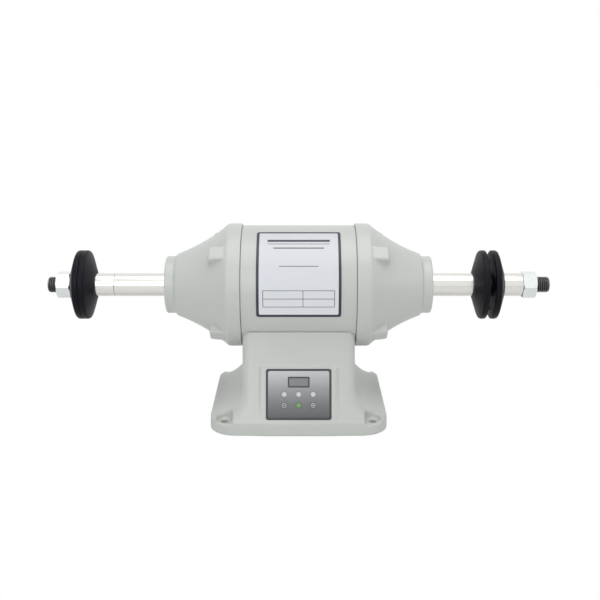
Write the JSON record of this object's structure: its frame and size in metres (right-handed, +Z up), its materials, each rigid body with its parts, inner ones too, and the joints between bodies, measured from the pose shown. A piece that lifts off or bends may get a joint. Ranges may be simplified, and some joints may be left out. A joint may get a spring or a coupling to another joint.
{
  "type": "bench buffer",
  "caption": "Double-ended variable-speed bench buffer: motor on a cast pedestal, long spindle with flanges, spacers and nuts that clamp a polishing wheel at each end.",
  "frame": {"origin": "on the bench, midway under the motor: the centre of the pedestal's underside", "axes": "+X along the spindle to the right as seen from the front, +Y to the rear, +Z up; the control panel faces -Y"},
  "size_m": [0.801, 0.256, 0.306],
  "materials": {
    "casting_paint": "pale grey-green enamel over a cast surface, semi-gloss",
    "polished_steel": "ground and polished",
    "bright_zinc": "bright zinc plated",
    "black_oxide": "black finish, satin",
    "bearing_steel": "ground",
    "core_steel": "laminated electrical steel",
    "copper_winding": "varnished copper winding",
    "seal_rubber": "black rubber",
    "label_silver": "satin silver plate with a dark border",
    "bezel_black": "moulded, matt",
    "panel_grey": "printed grey panel, silver to dark grey",
    "window_grey": "display window, glossy",
    "button_white": "satin",
    "button_dark": "satin",
    "button_green": "satin",
    "board_green": "circuit board",
    "module_alloy": "finned casting",
    "sheet_steel": "zinc plated sheet"
  },
  "bodies": {
    "frame": {"pedestal": "casting_paint", "motor_barrel": "casting_paint", "left_end_bell": "casting_paint", "right_end_bell": "casting_paint", "stator_core": "core_steel", "left_stator_winding": "copper_winding", "right_stator_winding": "copper_winding", "left_bearing_outer_ring": "bearing_steel", "right_bearing_outer_ring": "bearing_steel", "bearing_wave_washer": "bearing_steel", "left_shaft_seal": "seal_rubber", "right_shaft_seal": "seal_rubber", "tie_bolt_1": "black_oxide", "tie_bolt_2": "black_oxide", "tie_bolt_3": "black_oxide", "tie_bolt_4": "black_oxide", "motor_mounting_bolt_1": "bright_zinc", "motor_mounting_bolt_2": "bright_zinc", "motor_mounting_bolt_3": "bright_zinc", "motor_mounting_bolt_4": "bright_zinc", "nameplate": "label_silver", "control_bezel": "bezel_black", "control_plate": "panel_grey", "display_window": "window_grey", "control_board": "board_green", "drive_module": "module_alloy", "base_cover": "sheet_steel", "base_cover_screw_1": "bright_zinc", "base_cover_screw_2": "bright_zinc", "base_cover_screw_3": "bright_zinc", "base_cover_screw_4": "bright_zinc", "cord_gland": "seal_rubber"},
    "spindle": {"spindle_shaft": "polished_steel", "rotor_core": "core_steel", "left_bearing_inner_ring": "bearing_steel", "right_bearing_inner_ring": "bearing_steel", "left_inner_flange": "black_oxide", "right_inner_flange": "black_oxide", "left_spacer": "polished_steel"},
    "left_cage": {"left_ball_cage": "bearing_steel"},
    "right_cage": {"right_ball_cage": "bearing_steel"},
    "left_clamp": {"left_outer_flange": "black_oxide"},
    "left_nut": {"left_nut": "bright_zinc"},
    "right_clamp": {"right_outer_flange": "black_oxide", "right_spacer": "polished_steel"},
    "right_nut": {"right_nut": "bright_zinc"},
    "mode_button": {"mode_button": "button_white"},
    "run_button": {"run_button": "button_white"},
    "stop_button": {"stop_button": "button_white"},
    "slower_button": {"slower_button": "button_dark"},
    "power_button": {"power_button": "button_green"},
    "faster_button": {"faster_button": "button_dark"}
  },
  "joints": [
    {"name": "spindle_spin", "type": "hinge", "parent": "frame", "child": "spindle", "pos_m": [0, 0, 0.208], "axis": [1, 0, 0], "continuous": true},
    {"name": "left_cage_spin", "type": "hinge", "parent": "frame", "child": "left_cage", "pos_m": [-0.192, 0, 0.208], "axis": [1, 0, 0], "continuous": true},
    {"name": "right_cage_spin", "type": "hinge", "parent": "frame", "child": "right_cage", "pos_m": [0.192, 0, 0.208], "axis": [1, 0, 0], "continuous": true},
    {"name": "left_clamp_slide", "type": "slide", "parent": "spindle", "child": "left_clamp", "axis": [-1, 0, 0], "range_m": [0, 0.016]},
    {"name": "left_nut_turn", "type": "hinge", "parent": "left_clamp", "child": "left_nut", "pos_m": [-0.37, 0, 0.208], "axis": [1, 0, 0], "range_deg": [0, 1815]},
    {"name": "right_clamp_slide", "type": "slide", "parent": "spindle", "child": "right_clamp", "axis": [1, 0, 0], "range_m": [-0.0092, 0.0175]},
    {"name": "right_nut_turn", "type": "hinge", "parent": "right_clamp", "child": "right_nut", "pos_m": [0.37, 0, 0.208], "axis": [1, 0, 0], "range_deg": [-1044, 1985]},
    {"name": "mode_button_press", "type": "slide", "parent": "frame", "child": "mode_button", "axis": [0, 0.9436, -0.3312], "range_m": [0, 0.0006], "stiffness_N_per_m": 400},
    {"name": "run_button_press", "type": "slide", "parent": "frame", "child": "run_button", "axis": [0, 0.9436, -0.3312], "range_m": [0, 0.0006], "stiffness_N_per_m": 400},
    {"name": "stop_button_press", "type": "slide", "parent": "frame", "child": "stop_button", "axis": [0, 0.9436, -0.3312], "range_m": [0, 0.0006], "stiffness_N_per_m": 400},
    {"name": "slower_button_press", "type": "slide", "parent": "frame", "child": "slower_button", "axis": [0, 0.9436, -0.3312], "range_m": [0, 0.0006], "stiffness_N_per_m": 400},
    {"name": "power_button_press", "type": "slide", "parent": "frame", "child": "power_button", "axis": [0, 0.9436, -0.3312], "range_m": [0, 0.0006], "stiffness_N_per_m": 400},
    {"name": "faster_button_press", "type": "slide", "parent": "frame", "child": "faster_button", "axis": [0, 0.9436, -0.3312], "range_m": [0, 0.0006], "stiffness_N_per_m": 400}
  ],
  "couplings": [
    {"joint": "left_cage_spin", "follows": "spindle_spin", "ratio": 0.4033},
    {"joint": "right_cage_spin", "follows": "spindle_spin", "ratio": 0.4033},
    {"joint": "left_nut_turn", "follows": "left_clamp_slide", "rad_per_m": 1979},
    {"joint": "right_nut_turn", "follows": "right_clamp_slide", "rad_per_m": 1979}
  ]
}
